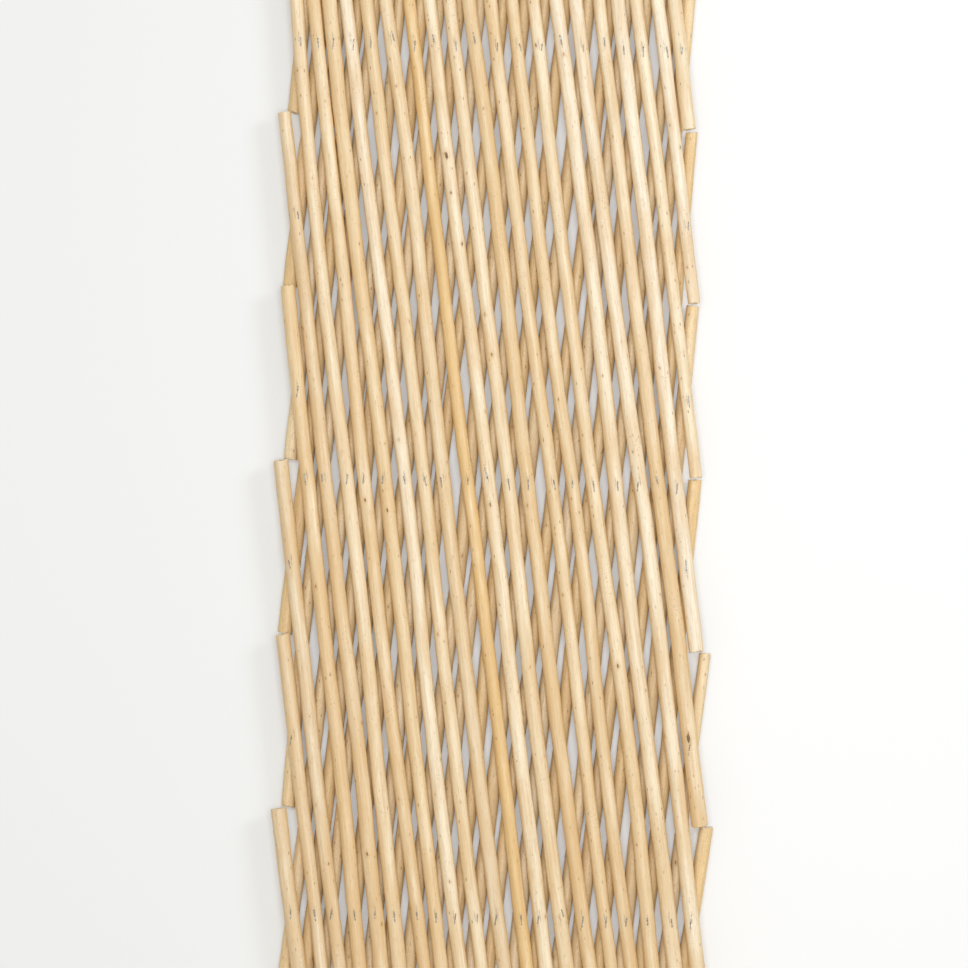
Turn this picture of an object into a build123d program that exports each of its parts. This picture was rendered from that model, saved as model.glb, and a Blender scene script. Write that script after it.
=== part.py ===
"""Expanding trellis panel of peeled willow rods, folded nearly shut and lying on its back.

Two layers of slim, crooked rods cross one another and are nailed together where they cross, so that
every nail is a pivot and the whole panel opens and folds like a lattice gate.  X runs across the
panel, Y up it and Z out of its face.  Lengths are in millimetres and angles in degrees.
"""

import os
from math import cos, hypot, radians, sin

from build123d import *
from numpy import interp

# The lattice: columns and rows of crossings, counted from the top left corner
columns = 38
rows = 10
nailed_rows = (0, 5, 10)
nail_pitch = 67.0  # along a rod, from one crossing to the next
folded_angle = 6.8  # between each layer of rods and upright
row_slope = 0.2  # each column of crossings lies this much lower than the one before it
fan = 0.018  # each column is this much wider for every row further down

# How far a rod runs on past its last nail
front_top_overhang = 77.0
front_foot_overhang = 62.0
back_top_overhang = 70.0
back_foot_overhang = 56.0

# Gaps
layer_gap = 0.1  # between the two layers of rods
seat_gap = 0.1  # between a nail's head and the rod it holds
running_clearance = 0.06  # round a nail in the rod that turns on it

# Nails, driven from the back
shank_radius = 0.8
head_radius = 1.6
head_height = 0.8
tip_height = 0.3  # how far the point stands out of the front rod

# Sides of a rod and of a nail
rod_sides = 10
nail_sides = 6

# Front rods, from the left: sideways shift, diameter at the top and at the foot, and the sideways
# bends where the rod was trimmed and at every second crossing, from the top down
front_rods = [
    (0.0, 12.0, 12.0, (-1.0, 0.5)),
    (3.0, 11.0, 10.0, (1.5, 0.5)),
    (0.5, 11.5, 10.5, (2.5, 1.0, 0.5)),
    (4.0, 11.0, 11.0, (0.5, 1.5, 2.0, -1.0)),
    (1.0, 10.0, 12.0, (-2.0, 1.0, 2.0, 2.5, -1.0)),
    (2.0, 10.0, 11.5, (1.0, -3.5, -2.5, 0.0, -0.5, -1.5)),
    (0.0, 10.5, 10.5, (-0.5, 0.0, 0.0, -1.0, -1.0, 1.5)),
    (-1.5, 11.5, 10.5, (0.0, -1.0, 1.0, 1.0, -0.5, -1.0)),
    (1.0, 10.5, 11.0, (-3.0, -1.5, 0.5, 0.5, -2.0, -1.0)),
    (-2.0, 10.5, 10.5, (-0.5, -0.5, 0.0, -1.5, -2.5, -2.0)),
    (-3.0, 10.5, 11.0, (-4.0, 1.5, 1.5, 1.5, 0.5, 1.0)),
    (-1.0, 9.5, 10.5, (-1.5, -1.0, -1.0, 0.0, 0.0, -0.5)),
    (-2.5, 10.0, 11.5, (0.0, 0.0, 1.0, 1.0, 0.5, 1.0)),
    (1.0, 10.0, 11.5, (-1.0, -1.0, 0.0, -1.0, -3.0, -2.0)),
    (-3.0, 11.0, 11.0, (-1.5, 1.0, -0.5, -1.0, -1.5, 0.5)),
    (1.0, 10.5, 10.0, (-1.5, -2.5, -2.0, -1.0, -1.5, -1.0)),
    (-1.0, 10.0, 10.5, (-1.5, -2.5, -2.0, 0.5, -2.0, -1.0)),
    (0.0, 10.0, 11.5, (-2.5, -2.5, -1.5, 0.5, 3.0, -1.5)),
    (3.0, 11.0, 12.0, (-1.0, 1.0, 0.0, -2.0, -1.5, -1.5)),
    (0.0, 11.0, 12.0, (-1.5, -1.0, 0.5, 2.5, 2.0, 0.0)),
    (1.5, 9.5, 12.5, (0.0, 0.0, 0.0, 1.0, 0.5)),
    (-0.5, 11.0, 11.5, (-0.5, 0.0, -1.0, 0.0)),
    (0.0, 10.5, 9.5, (-1.5, -0.5, -1.5)),
    (2.5, 10.5, 9.5, (-2.0, -3.0)),
    (-4.0, 11.0, 11.0, (-1.0, -2.5)),
]

# Back rods, from the left: sideways shifts.  Their diameters and bends vary by the waves below.
back_shifts = [
    3.0, 2.5, 0.5, -2.5, -2.0, 1.0, -0.5, -0.5, -3.0, 0.0, -2.5, 0.5, 1.0,
    -2.5, 1.0, 0.5, 1.0, 0.0, -0.5, 2.5, 0.0, 1.5, 0.0, -0.5, 1.5,
]
back_diameter = 10.4
back_diameter_wave = 0.8
back_taper = 1.0  # how much thicker a full-length back rod is at its foot
back_bend = 1.2
wave_step = 2.4  # radians from one rod to the next
bend_step = 1.9  # radians from one bend of a rod to the next

# Sideways bends of the back rods' ends that stand out of the two side edges, from the top down
left_foot_bends = [1.0, 0.0, 0.0, 3.0, 3.0]
right_top_bends = [-5.0, -3.5, -1.0, 4.5, 4.5]

# Worked out from the sizes above.  A nail fills its hole in the front rod, and its corners clear the
# flats of the hole in the back rod, which turns on it.
column_step = nail_pitch * sin(radians(folded_angle))
row_step = nail_pitch * cos(radians(folded_angle))
front_shifts = [rod[0] for rod in front_rods]
tight_hole = shank_radius * cos(radians(180 / nail_sides))
turning_hole = shank_radius + running_clearance


def lattice_point(front, back):
    """The crossing of a front and a back rod in an even lattice.

    Rods are numbered so that the crossing in column m and row n is that of front rod m - n and back
    rod m + n.  Both may be fractions, which gives a point between crossings.
    """
    from_front = front - (columns - rows) / 2
    from_back = back - (columns + rows) / 2
    x = (from_front + from_back) * column_step / 2 + fan * (from_back**2 - from_front**2) / 4
    y = (from_front - from_back) * row_step / 2 - (from_front + from_back) * row_slope / 2
    return x, y


def front_shift(front):
    return front_shifts[(front + rows) // 2]


def back_shift(back):
    return back_shifts[back // 2]


def nail_point(front, back):
    """Where the nail through this crossing stands."""
    x, y = lattice_point(front, back)
    return x + front_shift(front) + back_shift(back), y


def is_nailed(column, row):
    """Whether a crossing is nailed: all of three rows, and every crossing on the two side edges."""
    return row in nailed_rows or column in (0, columns)


class Rod:
    """The run of one rod: its nails, and its middle line and radius from its top to its foot."""

    def __init__(self, number, is_front, top_overhang, foot_overhang, diameters, bends):
        self.is_front = is_front
        self.number = number
        if is_front:
            first_row, last_row = max(0, -number), min(rows, columns - number)
        else:
            first_row, last_row = max(0, number - columns), min(rows, number)
        self.nails = []
        for row in range(first_row, last_row + 1):
            column = number + row if is_front else number - row
            if is_nailed(column, row):
                self.nails.append(row)
        self.top = first_row - top_overhang / nail_pitch
        self.foot = last_row + foot_overhang / nail_pitch
        self.bend_rows = [self.top, *range(first_row + 2, last_row, 2), self.foot]
        self.diameters = diameters
        self.bends = bends
        if bends is None:
            waves = [wave_step * number + bend_step * row for row in self.bend_rows]
            self.bends = [back_bend * sin(wave) for wave in waves]

    def numbers_at(self, row):
        """The front and back rod numbers of this rod's crossing in a row, or of a point between."""
        if self.is_front:
            return self.number, self.number + 2 * row
        return self.number - 2 * row, self.number

    def radius(self, row):
        share = (row - self.top) / (self.foot - self.top)
        top_diameter, foot_diameter = self.diameters
        return (top_diameter + (foot_diameter - top_diameter) * share) / 2

    def middle(self, row):
        """A point of the middle line, seen from the front."""
        x, y = lattice_point(*self.numbers_at(row))
        if self.is_front:
            own_shift = front_shift(self.number)
            crossing_shifts = [back_shift(self.number + 2 * nail) for nail in self.nails]
        else:
            own_shift = back_shift(self.number)
            crossing_shifts = [front_shift(self.number - 2 * nail) for nail in self.nails]
        x += own_shift + interp(row, self.nails, crossing_shifts) + interp(row, self.bend_rows, self.bends)
        return x, y

    def direction(self):
        """The rod's direction from top to foot."""
        top_x, top_y = self.middle(self.top)
        foot_x, foot_y = self.middle(self.foot)
        length = hypot(foot_x - top_x, foot_y - top_y)
        return (foot_x - top_x) / length, (foot_y - top_y) / length


front_layer = []
for index, (own_shift, top_diameter, foot_diameter, bends) in enumerate(front_rods):
    number = 2 * index - rows
    diameters = (top_diameter, foot_diameter)
    front_layer.append(Rod(number, True, front_top_overhang, front_foot_overhang, diameters, bends))

back_layer = []
for index in range(len(back_shifts)):
    middle_diameter = back_diameter + back_diameter_wave * sin(wave_step * index)
    half_taper = back_taper / 2
    diameters = (middle_diameter - half_taper, middle_diameter + half_taper)
    number = 2 * index
    rod = Rod(number, False, back_top_overhang, back_foot_overhang, diameters, None)
    if number < rows:
        rod.bends[-1] = left_foot_bends[number // 2]
    if number > columns:
        rod.bends[0] = right_top_bends[(number - columns) // 2 - 1]
    back_layer.append(rod)

# The panel lies on the heads under its thickest back rod, and its middle is over the origin
thickest = max(2 * rod.radius(row) for rod in back_layer for row in rod.nails)
layer_plane = head_height + seat_gap + thickest
corner_radius = 1 / cos(radians(180 / rod_sides))

across = []
upward = []
for rod in front_layer + back_layer:
    along_x, along_y = rod.direction()
    for row in rod.bend_rows:
        x, y = rod.middle(row)
        reach = rod.radius(row) * corner_radius
        across += [x - reach * abs(along_y), x + reach * abs(along_y)]
        upward += [y - reach * abs(along_x), y + reach * abs(along_x)]
centre_x = (min(across) + max(across)) / 2
centre_y = (min(upward) + max(upward)) / 2


def section_planes(rod):
    """Planes across a rod at its ends and bends, with the layers' shared plane touching its side."""
    along_x, along_y = rod.direction()
    planes = []
    for row in rod.bend_rows:
        x, y = rod.middle(row)
        if rod.is_front:
            z = layer_plane + layer_gap + rod.radius(row)
        else:
            z = layer_plane - rod.radius(row)
        origin = (x - centre_x, y - centre_y, z)
        planes.append(Plane(origin=origin, x_dir=(along_y, -along_x, 0), z_dir=(along_x, along_y, 0)))
    return planes


def nail_places(rod):
    """The places of a rod's nails."""
    places = []
    for row in rod.nails:
        x, y = nail_point(*rod.numbers_at(row))
        places.append((x - centre_x, y - centre_y))
    return places


def crooked_body(rod):
    """A crooked, tapering body with flat sides, straight from each bend to the next."""
    rings = []
    for row, plane in zip(rod.bend_rows, section_planes(rod)):
        with BuildSketch(plane) as section:
            RegularPolygon(rod.radius(row), rod_sides, major_radius=False)
        rings.append([vertex.center() for vertex in section.sketch.face().outer_wire().vertices()])
    sides = [Face(Wire.make_polygon(rings[0])), Face(Wire.make_polygon(rings[-1]))]
    for upper, lower in zip(rings, rings[1:]):
        for corner in range(rod_sides):
            following = (corner + 1) % rod_sides
            outline = [upper[corner], upper[following], lower[following], lower[corner]]
            sides.append(Face(Wire.make_polygon(outline)))
    return Solid(Shell(sides))


def make_rod(rod, hole_size):
    """A rod with a hole for each of its nails, whose flats lie hole_size from its middle."""
    straight_sided = crooked_body(rod)
    with BuildPart() as body:
        add(straight_sided)
        with BuildSketch(Plane.XY):
            with Locations(*nail_places(rod)):
                RegularPolygon(hole_size, nail_sides, major_radius=False)
        extrude(amount=2 * layer_plane + thickest, mode=Mode.SUBTRACT)
    return body.part


def make_nail(rod, row, place):
    """A nail up through a back rod and the front rod that keeps it."""
    front, back = rod.numbers_at(row)
    underside = layer_plane - 2 * back_layer[back // 2].radius(row)
    head_top = underside - seat_gap
    tip = layer_plane + layer_gap + 2 * rod.radius(row) + tip_height
    with BuildPart() as nail:
        with BuildSketch(Plane.XY.offset(head_top - head_height)):
            with Locations(place):
                RegularPolygon(head_radius, nail_sides)
        extrude(amount=head_height)
        with BuildSketch(Plane.XY.offset(head_top)):
            with Locations(place):
                RegularPolygon(shank_radius, nail_sides)
        extrude(amount=tip - head_top)
    return nail.part


os.makedirs("parts", exist_ok=True)

for index, rod in enumerate(back_layer, start=1):
    piece = make_rod(rod, turning_hole)
    piece.label = f"back_rod_{index:02d}"
    export_step(piece, f"parts/{piece.label}.step")

# Each front rod keeps its nails, as solids of their own
for index, rod in enumerate(front_layer, start=1):
    pieces = [make_rod(rod, tight_hole)]
    for row, place in zip(rod.nails, nail_places(rod)):
        pieces.append(make_nail(rod, row, place))
    group = Compound(children=pieces)
    group.label = f"front_rod_{index:02d}"
    export_step(group, f"parts/{group.label}.step")
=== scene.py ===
"""Looks of a willow trellis panel that lies folded on its back: round, slightly wavy peeled rods with
bud scars and cut ends, held by wire nails whose points are bent over on the front.

Lengths are in metres.  Along a rod, places are measured from its top end.
"""

import zlib
from math import pi, radians, tau

import bmesh
import bpy
import numpy as np
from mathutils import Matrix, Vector


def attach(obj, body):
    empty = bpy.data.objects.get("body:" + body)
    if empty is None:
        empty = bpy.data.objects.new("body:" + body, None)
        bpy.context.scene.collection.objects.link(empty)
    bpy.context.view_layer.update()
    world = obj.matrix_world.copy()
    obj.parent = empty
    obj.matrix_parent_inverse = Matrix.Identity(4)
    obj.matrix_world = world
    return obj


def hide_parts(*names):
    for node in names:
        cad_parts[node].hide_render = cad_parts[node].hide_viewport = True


# What a millimetre is here
MM = 0.001

# The photograph's view, straight down
PHOTO_WIDTH = 0.7446
PHOTO_MIDDLE = (-0.0063, -0.0114)
CAMERA_HEIGHT = 3.0
SENSOR_WIDTH = 36.0

# The studio: a large soft lamp over the panel, a smaller one at its upper right, a bright room with
# warm walls, and white paper under the panel
KEY_PLACE = (0.02, 0.15, 2.6)
KEY_SIZE = 1.1
KEY_POWER = 39.0
KEY_COLOUR = (0.95, 1.0, 1.09)
SIDE_PLACE = (1.7, 0.9, 1.7)
SIDE_SIZE = 0.8
SIDE_POWER = 15.0
ROOM_LIGHT = 0.52
ROOM_COLOUR = (1.08, 0.98, 0.82)
# The paper's colour goes from darker on the left to brighter on the right: painted shade and light where the
# lamps fall off to the left
FLOOR_COLOUR = (0.585, 0.605, 0.615)
FLOOR_COLOUR_PAINTED_LIT = (0.655, 0.670, 0.680)
FLOOR_GLOW_COLOUR = (1.0, 0.97, 0.91)
FLOOR_GLOW = 0.20
FLOOR_REACH = 6.0
FLOOR_SHADE_FROM = -0.30
FLOOR_SHADE_TO = 0.25

# Rods
SIDES_ROUND = 24
NEAR_END = 3.0 * MM  # corners this near to a plain rod's end belong to it
RING_STEP = 0.02 * MM  # corners further apart than this along a rod are not of one ring
RING_MINIMUM = 6.0 * MM  # narrower groups of corners are nail holes, not rings
STATION_STEP = 4.0 * MM
STATION_MINIMUM = 0.25 * MM
WAVE_LENGTHS = (0.19, 0.095, 0.047)
WAVE_HEIGHTS = (0.22 * MM, 0.12 * MM, 0.05 * MM)
GIRTH_LENGTHS = (0.11, 0.042, 0.019)
GIRTH_SHARES = (0.012, 0.009, 0.005)
OVALITY = 0.012
BOW_FRONT = 0.9 * MM
BOW_BACK = 0.45 * MM

# Bud scars
BUD_SPACING = (14 * MM, 46 * MM)
BUD_TURN = 0.4 * tau
BUD_TURN_SPREAD = 0.5
BUD_SIZES = (0.5, 1.2)
BUD_STRENGTH_LEAST = 0.12
BUD_STRENGTH_SPREAD = 0.95
BUD_REACH = 7.0 * MM
BUD_HEIGHT = 0.34 * MM
BUD_SWELLING = 0.020
BUD_SWELLING_LENGTH = 7.0 * MM
BUD_STATIONS = (-3.2, -2.2, -1.5, -0.9, -0.4, 0.0, 0.4, 0.9, 1.5, 2.2, 3.2)
KNOT_TURN = 0.15  # how far from a rod's crest its large knots lie, in radians

# Large knots that stand out: how far up the panel, size and strength
KNOTS = {
    "front_rod_21": [(-0.2051, 2.2, 3.2)],
    "front_rod_13": [(0.2393, 1.8, 1.7), (0.2120, 0.9, 1.6)],
    "front_rod_14": [(0.0871, 1.2, 1.0)],
    "front_rod_08": [(-0.0310, 1.1, 1.4)],
    "front_rod_18": [(-0.1500, 1.2, 1.3)],
}

# Cut ends
END_STATIONS = (0.0, 0.25, 0.6, 1.2, 2.4)
END_RAGGED = 0.38 * MM
END_TILT = 8.0
CAP_RINGS = ((0.93, -0.10), (0.62, 0.05), (0.25, 0.0))  # share of the radius, millimetres inwards

# Nails
NAIL_REACH = 10.0 * MM
WIRE_RADIUS = 0.44 * MM
HEAD_RADIUS = 2.0 * MM
HEAD_THICKNESS = 0.7 * MM
POINT_LENGTHS = (5.5 * MM, 9.5 * MM)
WIRE_SIDES = 10
POINT_SLANTS = (-0.32, 0.12)
POINT_DOWN_CHANCE = 0.8
POINT_RISES = (0.15, 0.5)  # height of a point's start over the rod, in wire radii
POINT_DIPS = (-0.9, 0.2)  # height of its middle
POINT_STEPS = 22
POINT_TAPER = (0.9, 0.7, 0.45, 0.2)
BEND_DEPTH = 1.2 * MM
HEAD_SIDES = 20
# A head's outline: height, and width as a share of its radius
HEAD_OUTLINE = ((0.0, 0.9), (0.15 * MM, 1.0), (0.55 * MM, 1.0), (HEAD_THICKNESS, 0.85))

# Tones of peeled willow, linear
TONES = {
    "white": (0.840, 0.760, 0.605),
    "ivory": (0.800, 0.690, 0.495),
    "cream": (0.762, 0.622, 0.408),
    "straw": (0.730, 0.565, 0.338),
    "dull": (0.700, 0.560, 0.368),
    "sand": (0.690, 0.505, 0.282),
    "honey": (0.710, 0.485, 0.212),
    # The amber tones of the back rods are lighter and warmer than the willow's own, painted warm bounce
    # light for rods in the front layer's shade
    "pale amber": (0.870, 0.710, 0.445),
    "amber": (0.850, 0.660, 0.370),
    "dark amber": (0.830, 0.610, 0.300),
}

# The front rods' tones from the left, each at its top and at its foot. Each is the rod's own tone, and the
# leftmost rods' tones are made a little darker as painted shade where the light falls off to the left.
FRONT_TONES_AND_PAINTED_SHADE = [
    ("dull", "dull"),
    ("dull", "dull"),
    ("dull", "dull"),
    ("straw", "sand"),
    ("dull", "sand"),
    ("ivory", "cream"),
    ("cream", "sand"),
    ("straw", "straw"),
    ("white", "ivory"),
    ("cream", "cream"),
    ("cream", "dull"),
    ("honey", "honey"),
    ("ivory", "ivory"),
    ("ivory", "cream"),
    ("straw", "sand"),
    ("cream", "straw"),
    ("cream", "sand"),
    ("ivory", "straw"),
    ("white", "cream"),
    ("white", "ivory"),
    ("ivory", "sand"),
    ("white", "white"),
    ("ivory", "ivory"),
    ("white", "white"),
    ("ivory", "ivory"),
]
# Back rods take the amber tones, with their painted bounce light
BACK_TONES_PAINTED_BOUNCE = ["amber", "dark amber", "pale amber", "dark amber", "amber", "amber", "dark amber"]

# The willow's noises: waves per millimetre across, through and along a rod, detail and roughness
GRAIN_NOISES = {
    "fibres": ((2.4, 2.4, 0.09), 3.0, 0.6),
    "dashes": ((1.1, 1.1, 0.13), 2.0, 0.6),
    "streaks": ((0.55, 0.55, 0.018), 2.0, 0.5),
    "blotches": ((0.11, 0.11, 0.014), 2.0, 0.5),
    "mottle": ((0.42, 0.42, 0.11), 3.0, 0.6),
    "patches": ((0.10, 0.10, 0.030), 1.0, 0.5),
}

# What the noises paint over a rod's tone: where each starts and is full, how strong, in which colour
GRAIN_PAINTS = [
    ("blotches", 0.42, 0.70, 0.55, (0.68, 0.46, 0.215)),
    ("blotches", 0.48, 0.26, 0.45, (0.90, 0.80, 0.60)),
    ("streaks", 0.42, 0.75, 0.40, (0.60, 0.40, 0.19)),
    ("streaks", 0.45, 0.22, 0.40, (0.92, 0.82, 0.62)),
    ("fibres", 0.42, 0.75, 0.26, (0.48, 0.31, 0.14)),
    ("mottle", 0.52, 0.76, 0.32, (0.60, 0.39, 0.18)),
    ("dashes", 0.60, 0.74, 0.34, (0.42, 0.26, 0.11)),
]

# Cells for flecks and specks, and the roughness of the edges of scars and splits, per millimetre
FLECK_CELLS = (0.44, 0.44, 0.15)
SPECK_CELLS = (0.95, 0.95, 0.55)
RAGGED_GRAIN = (1.6, 1.6, 0.6)
BROKEN_GRAIN = (0.9, 0.9, 0.9)

# Colours of the painted warm bounce light on the willow's sides, of its marks and of its cut ends, linear
PAINTED_BOUNCE_WARMTH = (0.92, 0.60, 0.215)
FLECK = (0.33, 0.19, 0.08)
SPECK = (0.26, 0.15, 0.07)
BUD_HALO = (0.56, 0.33, 0.135)
BUD_SCAR = (0.15, 0.068, 0.015)
NAIL_STAIN = (0.36, 0.27, 0.17)
NAIL_SPLIT = (0.17, 0.14, 0.11)
END_WOOD = (0.84, 0.72, 0.53)
END_RING = (0.66, 0.49, 0.29)
END_PITH = (0.38, 0.22, 0.10)

# Colours of the nails' wire, clean and stained, linear
WIRE_CLEAN = (0.46, 0.45, 0.43)
WIRE_STAINED = (0.17, 0.15, 0.13)


def seeded(name):
    """Random draws that depend on a piece's name alone."""
    return np.random.default_rng(zlib.crc32(name.encode()))


def solids_of(node):
    """The separate solids of a node, each as an array of its corners, the longest one first."""
    shape = bmesh.new()
    shape.from_mesh(node.data)
    bmesh.ops.remove_doubles(shape, verts=shape.verts, dist=1e-6)
    solids = []
    waiting = set(shape.verts)
    while waiting:
        reached = [waiting.pop()]
        for vertex in reached:
            for edge in vertex.link_edges:
                other = edge.other_vert(vertex)
                if other in waiting:
                    waiting.remove(other)
                    reached.append(other)
        solids.append(np.array([vertex.co[:] for vertex in reached]))
    shape.free()
    solids.sort(key=lambda corners: -np.ptp(corners[:, 1]))
    return [solids[0], *sorted(solids[1:], key=lambda corners: -corners[:, 1].mean())]


def middle_line(corners):
    """A rod's middle line from its top end to its foot, and its radius there, at its ends and bends."""
    top = corners[corners[:, 1] > corners[:, 1].max() - NEAR_END].mean(axis=0)
    foot = corners[corners[:, 1] < corners[:, 1].min() + NEAR_END].mean(axis=0)
    along = (foot - top) * (1, 1, 0)
    along /= np.linalg.norm(along)
    across = np.array([-along[1], along[0], 0])
    order = np.argsort(corners @ along)
    stations = (corners @ along)[order]
    groups = np.split(order, np.nonzero(np.diff(stations) > RING_STEP)[0] + 1)
    points, radii = [], []
    for group in groups:
        ring = corners[group]
        sideways = ring @ across
        if np.ptp(sideways) < RING_MINIMUM:
            continue
        middle = (sideways.max() + sideways.min()) / 2
        height = (ring[:, 2].max() + ring[:, 2].min()) / 2
        station = (ring @ along).mean()
        points.append(along * station + across * middle + np.array([0, 0, height]))
        radii.append(np.ptp(ring[:, 2]) / 2)
    return np.array(points), np.array(radii)


def smooth_through(knots, values, at):
    """A smooth curve through values at knots, read at other places."""
    slopes = np.gradient(values, knots, axis=0)
    index = np.clip(np.searchsorted(knots, at) - 1, 0, len(knots) - 2)
    span = knots[index + 1] - knots[index]
    share = (at - knots[index]) / span
    if values.ndim > 1:
        share, span = share[:, None], span[:, None]
    before, after = values[index], values[index + 1]
    rise_before, rise_after = slopes[index] * span, slopes[index + 1] * span
    return (
        before * (1 + 2 * share) * (1 - share) ** 2
        + rise_before * share * (1 - share) ** 2
        + after * share**2 * (3 - 2 * share)
        + rise_after * share**2 * (share - 1)
    )


def waves(draws, at, lengths, heights):
    """Gentle random waves along a rod."""
    total = np.zeros_like(at)
    for length, height in zip(lengths, heights):
        phase, stretch = draws.uniform(0, tau), draws.uniform(0.8, 1.25)
        total += height * np.sin(tau * at / (length * stretch) + phase)
    return total


class Rod:
    """A rod's wavy middle line, girth, buds and nails, as arrays along its stations."""

    def __init__(self, name, node):
        self.name = name
        self.is_front = name.startswith("front")
        draws = seeded(name)
        corners, *nails = solids_of(node)
        points, radii = middle_line(corners)
        runs = np.linalg.norm(np.diff(points, axis=0), axis=1)
        knots = np.concatenate([[0], np.cumsum(runs)])
        self.length = knots[-1]
        self.nail_places = sorted((nail.mean(axis=0) for nail in nails), key=lambda place: -place[1])
        self.place_buds(draws)
        trials = np.linspace(0, self.length, 400)
        heights = smooth_through(knots, points, trials)[:, 1]
        for height, size, strength in KNOTS.get(name, ()):
            station = trials[np.argmin(abs(heights - height))]
            self.buds.append((station, pi / 2 + KNOT_TURN, size, strength))
        self.stations = self.lay_stations()
        self.line = smooth_through(knots, points, self.stations)
        self.radius = smooth_through(knots, radii, self.stations)
        self.shape_line(draws)
        self.tone_start = draws.uniform(0, 10)

    def place_buds(self, draws):
        """Buds go round the rod in a spiral, at uneven distances."""
        self.buds = []
        station = draws.uniform(6 * MM, 30 * MM)
        angle = draws.uniform(0, tau)
        while station < self.length - 5 * MM:
            strength = BUD_STRENGTH_LEAST + BUD_STRENGTH_SPREAD * draws.random() ** 2
            self.buds.append((station, angle % tau, draws.uniform(*BUD_SIZES), strength))
            station += draws.uniform(*BUD_SPACING)
            angle += BUD_TURN + draws.uniform(-BUD_TURN_SPREAD, BUD_TURN_SPREAD)

    def lay_stations(self):
        """Stations along the rod, closer together at its buds and ends."""
        places = list(np.linspace(0, self.length, int(self.length / STATION_STEP) + 1))
        for station, angle, size, strength in self.buds:
            places += [station + offset * MM for offset in BUD_STATIONS]
        places += [offset * MM for offset in END_STATIONS]
        places += [self.length - offset * MM for offset in END_STATIONS]
        places = np.unique(np.clip(places, 0, self.length))
        kept = [places[0]]
        for place in places[1:]:
            if place - kept[-1] >= STATION_MINIMUM:
                kept.append(place)
        kept[-1] = self.length
        return np.array(kept)

    def shape_line(self, draws):
        """Bends the middle line gently, sideways and away from the other layer of rods."""
        sideways = waves(draws, self.stations, WAVE_LENGTHS, WAVE_HEIGHTS)
        girth = waves(draws, self.stations, GIRTH_LENGTHS, GIRTH_SHARES)
        bow = np.abs(waves(draws, self.stations, (0.6, 0.23), (0.7, 0.3)))
        self.along = np.gradient(self.line, self.stations, axis=0)
        self.along /= np.linalg.norm(self.along, axis=1)[:, None]
        self.across = np.stack([self.along[:, 1], -self.along[:, 0], np.zeros(len(self.stations))], axis=1)
        self.across *= np.where(self.across[:, :1] < 0, -1, 1)
        self.line += self.across * sideways[:, None]
        reach = BOW_FRONT if self.is_front else -BOW_BACK
        self.line[:, 2] += reach * bow
        self.radius *= 1 + girth - GIRTH_SHARES[0]
        self.oval_turn = draws.uniform(0, pi)
        self.ends = [(draws.uniform(-END_TILT, END_TILT), draws.uniform(0, tau)) for end in range(2)]
        self.ragged = draws.normal(0, 1, (2, SIDES_ROUND))

    def station_of(self, place):
        """The station nearest to a place."""
        return self.stations[np.argmin(np.hypot(*(self.line[:, :2] - np.array(place)[:2]).T))]


def wrapped(angle):
    """An angle between minus and plus half a turn."""
    return (angle + pi) % tau - pi


def nearest_marks(stations, angles, radii, marks, reach):
    """How far each point of a surface lies from its nearest mark, along and round the rod, and how near."""
    offsets = np.zeros((*angles.shape, 3))
    best = np.full(angles.shape, np.inf)
    for station, angle, size, strength in marks:
        along = (stations[:, None] - station) / size
        around = wrapped(angles - angle) * radii[:, None] / size
        away = np.hypot(along, around)
        closer = away < best
        best = np.minimum(best, away)
        near = np.clip(1 - away / reach, 0, 1) * strength
        found = np.stack(np.broadcast_arrays(along / MM, around / MM, near), axis=-1)
        offsets[closer] = found[closer]
    return offsets


def rod_surface(rod):
    """Points of the rod's round surface, one ring for each station."""
    count = len(rod.stations)
    angles = np.broadcast_to(np.arange(SIDES_ROUND) * tau / SIDES_ROUND, (count, SIDES_ROUND))
    girth = rod.radius[:, None] * (1 + OVALITY * np.cos(2 * (angles - rod.oval_turn)))
    for station, angle, size, strength in rod.buds:
        along = (rod.stations[:, None] - station) / size
        around = wrapped(angles - angle) * rod.radius[:, None] / size
        swelling = np.exp(-((along / BUD_SWELLING_LENGTH) ** 2))
        bump = np.exp(-((along / (0.9 * MM)) ** 2) - (around / (1.5 * MM)) ** 2)
        hollow = np.exp(-(((along - 1.3 * MM) / (0.7 * MM)) ** 2) - (around / (1.2 * MM)) ** 2)
        girth = girth + rod.radius[:, None] * BUD_SWELLING * min(strength, 1.0) * swelling
        girth = girth + BUD_HEIGHT * min(strength * size, 1.0) * (bump - 0.6 * hollow)
    up = np.array([0, 0, 1.0])
    points = (
        rod.line[:, None, :]
        + rod.across[:, None, :] * (girth * np.cos(angles))[..., None]
        + up * (girth * np.sin(angles))[..., None]
    )
    for end, sign in ((0, -1), (count - 1, 1)):
        tilt, lean = rod.ends[end > 0]
        slope = np.tan(radians(tilt)) * np.cos(angles[end] - lean) * rod.radius[end]
        shift = slope + END_RAGGED * rod.ragged[int(end > 0)]
        for step in range(len(END_STATIONS)):
            ring = end + (step if sign < 0 else -step)
            fade = 1 - step / len(END_STATIONS)
            points[ring] += rod.along[ring] * (shift * fade)[:, None]
    return points, angles, girth


def add_points(mesh, name, values):
    """Stores a vector for each point of a mesh."""
    attribute = mesh.attributes.new(name, "FLOAT_VECTOR", "POINT")
    attribute.data.foreach_set("vector", np.asarray(values, np.float32).ravel())


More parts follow.
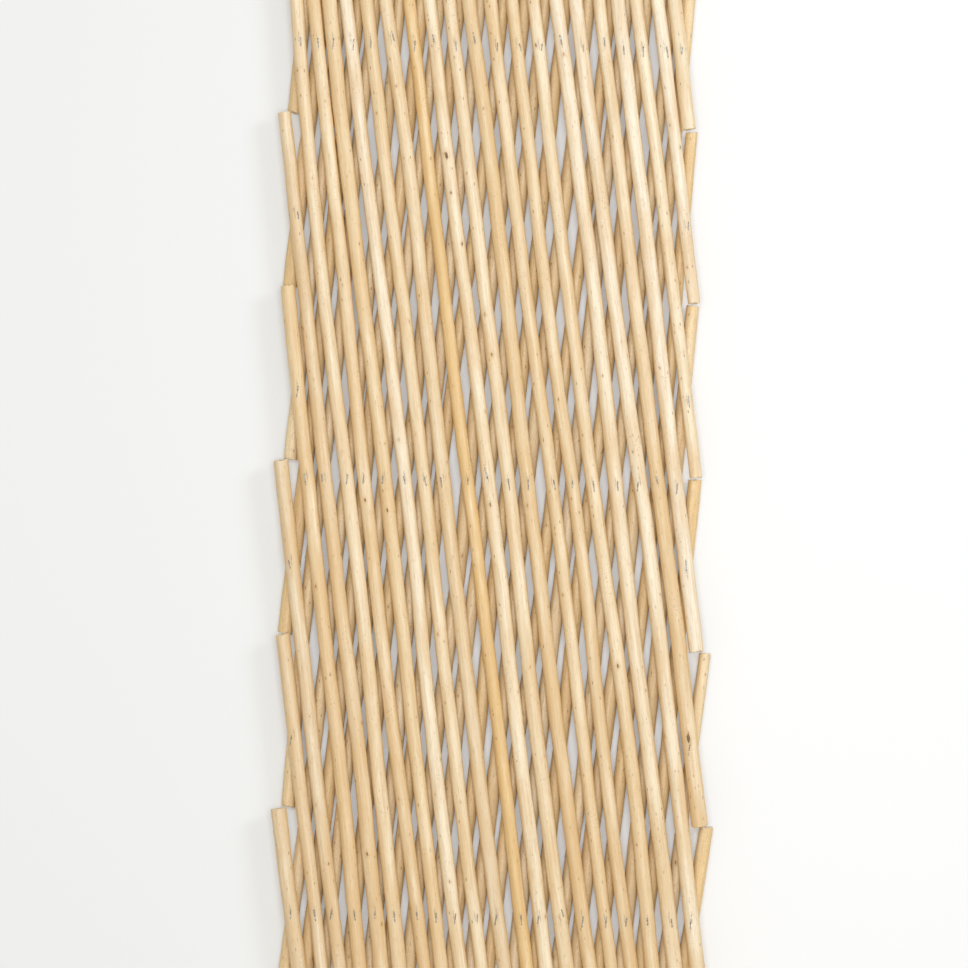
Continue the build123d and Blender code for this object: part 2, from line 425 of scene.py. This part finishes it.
def build_rod(rod, tone_top, tone_foot, material):
    """The rod's mesh: its surface, its two cut ends, and what its finish needs at each point."""
    points, angles, girth = rod_surface(rod)
    count = len(points)
    rings = [points]
    top_cap, foot_cap = [], []
    for cap, ring, into in ((top_cap, points[0], rod.along[0]), (foot_cap, points[-1], -rod.along[-1])):
        middle = ring.mean(axis=0)
        for share, depth in CAP_RINGS:
            cap.append(middle + (ring - middle) * share + into * depth * MM)
        cap.append(middle[None, :])
    vertices = np.concatenate([points.reshape(-1, 3), *top_cap, *foot_cap])
    faces = []
    for ring in range(count - 1):
        for side in range(SIDES_ROUND):
            following = (side + 1) % SIDES_ROUND
            here, there = ring * SIDES_ROUND, (ring + 1) * SIDES_ROUND
            faces.append((here + side, there + side, there + following, here + following))
    cap_size = len(CAP_RINGS) * SIDES_ROUND + 1
    last_ring, first_cap = (count - 1) * SIDES_ROUND, count * SIDES_ROUND
    for outer, start, flip in ((0, first_cap, False), (last_ring, first_cap + cap_size, True)):
        levels = [outer, *(start + ring * SIDES_ROUND for ring in range(len(CAP_RINGS)))]
        for outside, inside in zip(levels, levels[1:]):
            for side in range(SIDES_ROUND):
                following = (side + 1) % SIDES_ROUND
                face = (outside + side, outside + following, inside + following, inside + side)
                faces.append(face[::-1] if flip else face)
        centre = start + len(CAP_RINGS) * SIDES_ROUND
        for side in range(SIDES_ROUND):
            face = (levels[-1] + side, levels[-1] + (side + 1) % SIDES_ROUND, centre)
            faces.append(face[::-1] if flip else face)
    mesh = bpy.data.meshes.new(rod.name + "_willow")
    mesh.from_pydata(vertices.tolist(), [], faces)
    mesh.polygons.foreach_set("use_smooth", [True] * len(mesh.polygons))

    stations = rod.stations
    share = stations / rod.length
    tone = np.array(TONES[tone_top]) * (1 - share[:, None]) + np.array(TONES[tone_foot]) * share[:, None]
    marks = [(rod.station_of(place), pi / 2, 1.0, 1.0) for place in rod.nail_places] if rod.is_front else []
    surface = {
        "grain": np.stack([
            girth * np.cos(angles) / MM,
            girth * np.sin(angles) / MM,
            np.broadcast_to(((stations + rod.tone_start) / MM)[:, None], girth.shape),
        ], axis=-1),
        "tone": np.broadcast_to(tone[:, None, :], (count, SIDES_ROUND, 3)),
        "bud": nearest_marks(stations, angles, rod.radius, rod.buds, BUD_REACH),
        "nail": nearest_marks(stations, angles, rod.radius, marks, NAIL_REACH),
        "cut": np.zeros((count, SIDES_ROUND, 3)),
    }
    for name, values in surface.items():
        parts = [values.reshape(-1, 3)]
        for ring in (0, -1):
            cap = []
            for level, depth in CAP_RINGS:
                rows = values[ring].copy()
                if name == "grain":
                    rows[:, :2] *= level
                if name == "cut":
                    rows[:] = 1
                if name in ("bud", "nail"):
                    rows[:] = 0
                cap.append(rows)
            last = cap[-1].mean(axis=0, keepdims=True)
            parts += [*cap, last]
        add_points(mesh, name, np.concatenate(parts))
    mesh.materials.append(material)
    piece = bpy.data.objects.new(rod.name + "_willow", mesh)
    bpy.context.scene.collection.objects.link(piece)
    return piece


def tube(points, radii, sides, vertices, faces):
    """Adds a closed round tube along points to lists of vertices and faces."""
    points = np.asarray(points)
    direction = np.gradient(points, axis=0)
    direction /= np.linalg.norm(direction, axis=1)[:, None]
    start = len(vertices)
    turns = np.arange(sides)[:, None] * tau / sides
    side = np.cross(direction[0], (0, 0, 1) if abs(direction[0][2]) < 0.9 else (1, 0, 0))
    for point, heading, radius in zip(points, direction, radii):
        side = side - heading * (side @ heading)
        side /= np.linalg.norm(side)
        ring = point + radius * (side * np.cos(turns) + np.cross(heading, side) * np.sin(turns))
        vertices.extend(ring.tolist())
    for ring in range(len(points) - 1):
        for step in range(sides):
            following = (step + 1) % sides
            here, there = start + ring * sides, start + (ring + 1) * sides
            faces.append((here + step, here + following, there + following, there + step))
    faces.append(tuple(start + step for step in reversed(range(sides))))
    faces.append(tuple(start + (len(points) - 1) * sides + step for step in range(sides)))


def build_nails(rod, solids, material):
    """The rod's nails: a flat head behind the back rod, and a point bent over into the front rod."""
    draws = seeded(rod.name + " nails")
    vertices, faces = [], []
    for corners in solids:
        low = corners[:, 2].min()
        x, y = corners[:, 0].mean(), corners[:, 1].mean()
        index = np.argmin(np.hypot(rod.line[:, 0] - x, rod.line[:, 1] - y))
        along, across = rod.along[index], rod.across[index]
        top = rod.line[index, 2] + rod.radius[index]
        head = [(x, y, low + height) for height, width in HEAD_OUTLINE]
        widths = [HEAD_RADIUS * width for height, width in HEAD_OUTLINE]
        tube(head, widths, HEAD_SIDES, vertices, faces)
        length = draws.uniform(*POINT_LENGTHS)
        slant = draws.uniform(*POINT_SLANTS)
        heading = along * (1 if draws.random() < POINT_DOWN_CHANCE else -1) + across * slant
        heading /= np.linalg.norm(heading)
        rise, dip = draws.uniform(*POINT_RISES), draws.uniform(*POINT_DIPS)
        path = [np.array((x, y, low + HEAD_THICKNESS / 2)), np.array((x, y, top - BEND_DEPTH))]
        bent = ((-0.03, -0.9), (0.04, rise), (0.3, rise), (0.5, dip), (0.75, 0.0), (0.92, -0.5), (1.0, -1.6))
        for share, height in bent:
            spot = np.array((x, y, 0)) + heading * length * share
            sideways = (spot - rod.line[index]) @ across
            surface = rod.line[index, 2] + np.sqrt(max(rod.radius[index] ** 2 - sideways**2, 0))
            spot[2] = surface + height * WIRE_RADIUS
            path.append(spot)
        knots = np.concatenate([[0], np.cumsum(np.linalg.norm(np.diff(path, axis=0), axis=1))])
        at = np.concatenate([knots[:2], np.linspace(knots[2], knots[-1], POINT_STEPS)])
        smooth = smooth_through(knots, np.array(path), at)
        radii = np.full(len(smooth), WIRE_RADIUS)
        radii[-len(POINT_TAPER):] *= POINT_TAPER
        tube(smooth, radii, WIRE_SIDES, vertices, faces)
    mesh = bpy.data.meshes.new(rod.name + "_nails")
    mesh.from_pydata(vertices, [], faces)
    mesh.polygons.foreach_set("use_smooth", [True] * len(mesh.polygons))
    mesh.materials.append(material)
    piece = bpy.data.objects.new(rod.name + "_nails", mesh)
    bpy.context.scene.collection.objects.link(piece)
    return piece


class Finish:
    """A node-based material, and short calls that add its nodes."""

    def __init__(self, name):
        self.material = bpy.data.materials.new(name)
        self.material.use_nodes = True
        self.tree = self.material.node_tree
        self.shader = self.tree.nodes["Principled BSDF"]

    def node(self, kind, inputs=(), **settings):
        node = self.tree.nodes.new(kind)
        for name, value in settings.items():
            setattr(node, name, value)
        for key, value in dict(inputs).items():
            if isinstance(value, bpy.types.NodeSocket):
                self.tree.links.new(value, node.inputs[key])
            else:
                node.inputs[key].default_value = value
        return node

    def attribute(self, name):
        return self.node("ShaderNodeAttribute", attribute_name=name).outputs["Vector"]

    def parts(self, vector):
        return self.node("ShaderNodeSeparateXYZ", {0: vector}).outputs

    def maths(self, operation, *values):
        return self.node("ShaderNodeMath", dict(enumerate(values)), operation=operation).outputs[0]

    def product(self, first, *others):
        for other in others:
            first = self.maths("MULTIPLY", first, other)
        return first

    def scaled(self, vector, scale):
        return self.node("ShaderNodeVectorMath", {0: vector, 1: scale}, operation="MULTIPLY").outputs[0]

    def noise(self, vector, detail=2.0, roughness=0.5):
        inputs = {"Vector": vector, "Scale": 1.0, "Detail": detail, "Roughness": roughness}
        return self.node("ShaderNodeTexNoise", inputs).outputs["Fac"]

    def cells(self, vector):
        """Random cells: how far a point is from its cell's middle, and the cell's random numbers."""
        outputs = self.node("ShaderNodeTexVoronoi", {"Vector": vector, "Scale": 1.0}).outputs
        return outputs["Distance"], self.parts(outputs["Color"])

    def ramp(self, value, low, high, bottom=0.0, top=1.0):
        """Bottom below low, top above high, and a smooth rise between them."""
        inputs = {"Value": value, "From Min": low, "From Max": high, "To Min": bottom, "To Max": top}
        return self.node("ShaderNodeMapRange", inputs, interpolation_type="SMOOTHSTEP").outputs["Result"]

    def oval(self, along, around, along_scale, around_scale):
        """How far out a point lies in an oval about a mark."""
        scaled = self.product(along, along_scale), self.product(around, around_scale)
        return self.maths("SQRT", self.maths("ADD", *(self.maths("POWER", each, 2.0) for each in scaled)))

    def mix(self, share, under, over, blend="MIX"):
        node = self.node("ShaderNodeMix", data_type="RGBA", blend_type=blend)
        for key, value in ((0, share), (6, under), (7, over)):
            if isinstance(value, bpy.types.NodeSocket):
                self.tree.links.new(value, node.inputs[key])
            else:
                node.inputs[key].default_value = value if key == 0 else (*value, 1)
        return node.outputs[2]

    def use(self, **inputs):
        for name, value in inputs.items():
            socket = self.shader.inputs[name.replace("_", " ")]
            if isinstance(value, bpy.types.NodeSocket):
                self.tree.links.new(value, socket)
            else:
                socket.default_value = value


def paint_grain(look, grain, colour, noises):
    """Fibres, streaks and blotches, with flecks along the grain and clusters of fine dark specks."""
    for name, begin, full, strength, paint in GRAIN_PAINTS:
        colour = look.mix(look.ramp(noises[name], begin, full, 0.0, strength), colour, paint)
    distance, (chance, depth, rest) = look.cells(look.scaled(grain, FLECK_CELLS))
    shape = look.maths("ADD", distance, look.product(noises["mottle"], 0.16))
    fleck = look.product(look.ramp(shape, 0.36, 0.20), look.ramp(chance, 0.70, 0.74))
    colour = look.mix(look.product(fleck, look.ramp(depth, 0.1, 1.0, 0.15, 0.85)), colour, FLECK)
    distance, (chance, depth, rest) = look.cells(look.scaled(grain, SPECK_CELLS))
    where = look.product(look.ramp(noises["patches"], 0.62, 0.70), look.ramp(chance, 0.45, 0.6))
    return look.mix(look.product(look.ramp(distance, 0.34, 0.16), where, 0.62), colour, SPECK)


def paint_buds(look, colour, ragged):
    """Bud scars: a honey halo and a ragged dark scar, longer than it is wide."""
    along, around, near = look.parts(look.attribute("bud"))
    halo = look.maths("ADD", look.oval(along, around, 0.26, 0.50), look.product(ragged, 0.5))
    halo = look.product(look.ramp(halo, 1.20, 0.25), look.maths("MINIMUM", near, 0.6), 0.60)
    colour = look.mix(halo, colour, BUD_HALO)
    scar = look.ramp(look.maths("ADD", look.oval(along, around, 0.52, 1.55), ragged), 0.95, 0.45)
    scar = look.maths("MINIMUM", look.product(scar, near), 1.0)
    return look.mix(look.product(scar, 0.94), colour, BUD_SCAR), scar


def paint_nails(look, grain, colour, ragged):
    """A thin dark split and a little stain where a nail comes through."""
    along, around, near = look.parts(look.attribute("nail"))
    wander = look.maths("ADD", around, look.product(ragged, 0.40))
    split = look.ramp(look.maths("ABSOLUTE", wander), 0.34, 0.10)
    reach = look.ramp(look.maths("ABSOLUTE", along), 6.5, 2.0)
    broken = look.ramp(look.noise(look.scaled(grain, BROKEN_GRAIN), 1.0), 0.40, 0.55, 0.25, 1.0)
    split = look.product(split, reach, look.ramp(near, 0.0, 0.2), broken)
    stain = look.product(look.ramp(look.oval(along, around, 0.16, 0.42), 1.0, 0.2), broken, 0.20)
    colour = look.mix(stain, colour, NAIL_STAIN)
    return look.mix(look.product(split, 0.62), colour, NAIL_SPLIT), split


def paint_ends(look, grain, colour, cut):
    """Cut ends: pale, with faint rings and a small dark pith."""
    side, up, run = look.parts(grain)
    out = look.oval(side, up, 1.0, 1.0)
    ring = look.product(look.maths("ADD", look.maths("SINE", look.product(out, 5.2)), 1.0), 0.12)
    end_colour = look.mix(ring, END_WOOD, END_RING)
    end_colour = look.mix(look.ramp(out, 1.1, 0.7), end_colour, END_PITH)
    return look.mix(look.ramp(cut, 0.2, 0.8), colour, end_colour)


def willow_finish():
    """Peeled willow: fine grain along the rod, honey blotches, flecks, bud scars and pale cut ends, with
    painted warm bounce light on the sides.
    """
    look = Finish("peeled_willow")
    grain = look.attribute("grain")
    cut = look.parts(look.attribute("cut"))[0]
    noises = {}
    for name, (scale, *settings) in GRAIN_NOISES.items():
        noises[name] = look.noise(look.scaled(grain, scale), *settings)

    # Painted bounce light: the sides, which get their light from other rods, are painted warmer than the
    # crest
    facing = look.parts(look.node("ShaderNodeNewGeometry").outputs["Normal"])[2]
    colour = look.mix(look.ramp(facing, 0.85, 0.05, 0.0, 0.75), look.attribute("tone"), PAINTED_BOUNCE_WARMTH)
    colour = paint_grain(look, grain, colour, noises)
    ragged = look.noise(look.scaled(grain, RAGGED_GRAIN), 2.0)
    ragged = look.product(look.maths("SUBTRACT", ragged, 0.5), 1.3)
    colour, scar = paint_buds(look, colour, ragged)
    colour, split = paint_nails(look, grain, colour, ragged)
    colour = paint_ends(look, grain, colour, cut)

    fibres = noises["fibres"]
    roughness = look.ramp(look.maths("ADD", fibres, look.product(cut, 0.5)), 0.2, 0.9, 0.42, 0.66)
    height = look.maths("ADD", look.product(fibres, 0.6), look.product(noises["mottle"], 0.5))
    height = look.maths("SUBTRACT", height, look.product(scar, 0.8))
    height = look.maths("SUBTRACT", height, split)
    bump = look.node("ShaderNodeBump", {"Height": height, "Strength": 0.40, "Distance": 0.25 * MM})
    look.use(Base_Color=colour, Roughness=roughness, Normal=bump.outputs[0], Specular_IOR_Level=0.5)
    return look.material


def steel_finish():
    """Plain drawn wire, dulled and a little darkened."""
    look = Finish("nail_wire")
    place = look.node("ShaderNodeTexCoord").outputs["Object"]
    stain = look.noise(look.scaled(place, (900, 900, 900)), 3.0, 0.6)
    colour = look.mix(look.ramp(stain, 0.40, 0.7), WIRE_CLEAN, WIRE_STAINED)
    look.use(Base_Color=colour, Metallic=1.0, Roughness=look.ramp(stain, 0.3, 0.7, 0.32, 0.6))
    return look.material


def floor_finish():
    """White studio paper with painted light, darker to the left and brighter to the right, which the camera
    sees a little brighter than it is lit.
    """
    look = Finish("studio_paper")
    across = look.parts(look.node("ShaderNodeTexCoord").outputs["Object"])[0]
    # Painted shade to the left and painted light to the right across the paper
    colour = look.mix(look.ramp(across, FLOOR_SHADE_FROM, FLOOR_SHADE_TO), FLOOR_COLOUR, FLOOR_COLOUR_PAINTED_LIT)
    look.use(Base_Color=colour, Roughness=0.9)
    look.use(Specular_IOR_Level=0.1)
    rays = look.node("ShaderNodeLightPath").outputs
    seen = look.maths("MAXIMUM", rays["Is Camera Ray"], rays["Is Glossy Ray"])
    seen = look.maths("MAXIMUM", seen, rays["Is Transmission Ray"])
    look.use(Emission_Color=(*FLOOR_GLOW_COLOUR, 1.0), Emission_Strength=look.product(seen, FLOOR_GLOW))
    return look.material


def build_floor():
    """A wide pale floor under the panel."""
    mesh = bpy.data.meshes.new("studio_floor")
    corners = [(x * FLOOR_REACH, y * FLOOR_REACH, 0) for x, y in ((-1, -1), (1, -1), (1, 1), (-1, 1))]
    mesh.from_pydata(corners, [], [(0, 1, 2, 3)])
    mesh.materials.append(floor_finish())
    floor = bpy.data.objects.new("studio_floor", mesh)
    bpy.context.scene.collection.objects.link(floor)


def add_lamp(name, place, aim, size, power):
    """A soft square lamp that looks at a point."""
    lamp = bpy.data.lights.new(name, "AREA")
    lamp.shape = "SQUARE"
    lamp.size = size
    lamp.energy = power
    lamp.color = KEY_COLOUR
    holder = bpy.data.objects.new(name, lamp)
    holder.location = place
    holder.rotation_euler = (Vector(aim) - Vector(place)).to_track_quat("-Z", "Y").to_euler()
    bpy.context.scene.collection.objects.link(holder)


def build_studio():
    """Soft light from above and from the upper right, a bright room, and the photograph's view."""
    scene = bpy.context.scene
    scene.view_settings.view_transform = "Standard"
    world = bpy.data.worlds.new("studio")
    world.use_nodes = True
    scene.world = world
    room = world.node_tree.nodes["Background"]
    room.inputs["Color"].default_value = (*ROOM_COLOUR, 1.0)
    room.inputs["Strength"].default_value = ROOM_LIGHT
    add_lamp("key", KEY_PLACE, (0, 0, 0), KEY_SIZE, KEY_POWER)
    add_lamp("side", SIDE_PLACE, (0, 0, 0), SIDE_SIZE, SIDE_POWER)
    camera = bpy.data.objects.new("camera", bpy.data.cameras.new("camera"))
    camera.data.sensor_width = SENSOR_WIDTH
    camera.data.lens = SENSOR_WIDTH * CAMERA_HEIGHT / PHOTO_WIDTH
    camera.location = (*PHOTO_MIDDLE, CAMERA_HEIGHT)
    scene.collection.objects.link(camera)
    scene.camera = camera


def build_panel(frame):
    """A detailed rod in place of each plain one, with its nails."""
    willow, steel = willow_finish(), steel_finish()
    for name in sorted(frame["nodes"]):
        node = frame["nodes"][name]
        rod = Rod(name, node)
        index = int(name[-2:]) - 1
        if rod.is_front:
            tone_top, tone_foot = FRONT_TONES_AND_PAINTED_SHADE[index]
        else:
            # Amber tones with painted bounce light for the shaded back rods
            tone_top = tone_foot = BACK_TONES_PAINTED_BOUNCE[index % len(BACK_TONES_PAINTED_BOUNCE)]
        piece = build_rod(rod, tone_top, tone_foot, willow)
        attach(piece, name)
        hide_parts(name)
        if rod.is_front:
            nails = build_nails(rod, solids_of(node)[1:], steel)
            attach(nails, name)


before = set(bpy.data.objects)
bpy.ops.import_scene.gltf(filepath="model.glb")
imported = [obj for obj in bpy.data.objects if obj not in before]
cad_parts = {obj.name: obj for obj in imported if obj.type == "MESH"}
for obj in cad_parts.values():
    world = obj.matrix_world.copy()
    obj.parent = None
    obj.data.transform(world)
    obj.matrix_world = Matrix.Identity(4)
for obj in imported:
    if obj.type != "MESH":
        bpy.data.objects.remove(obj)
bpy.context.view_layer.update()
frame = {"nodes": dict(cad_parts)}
build_panel(frame)
build_floor()
build_studio()
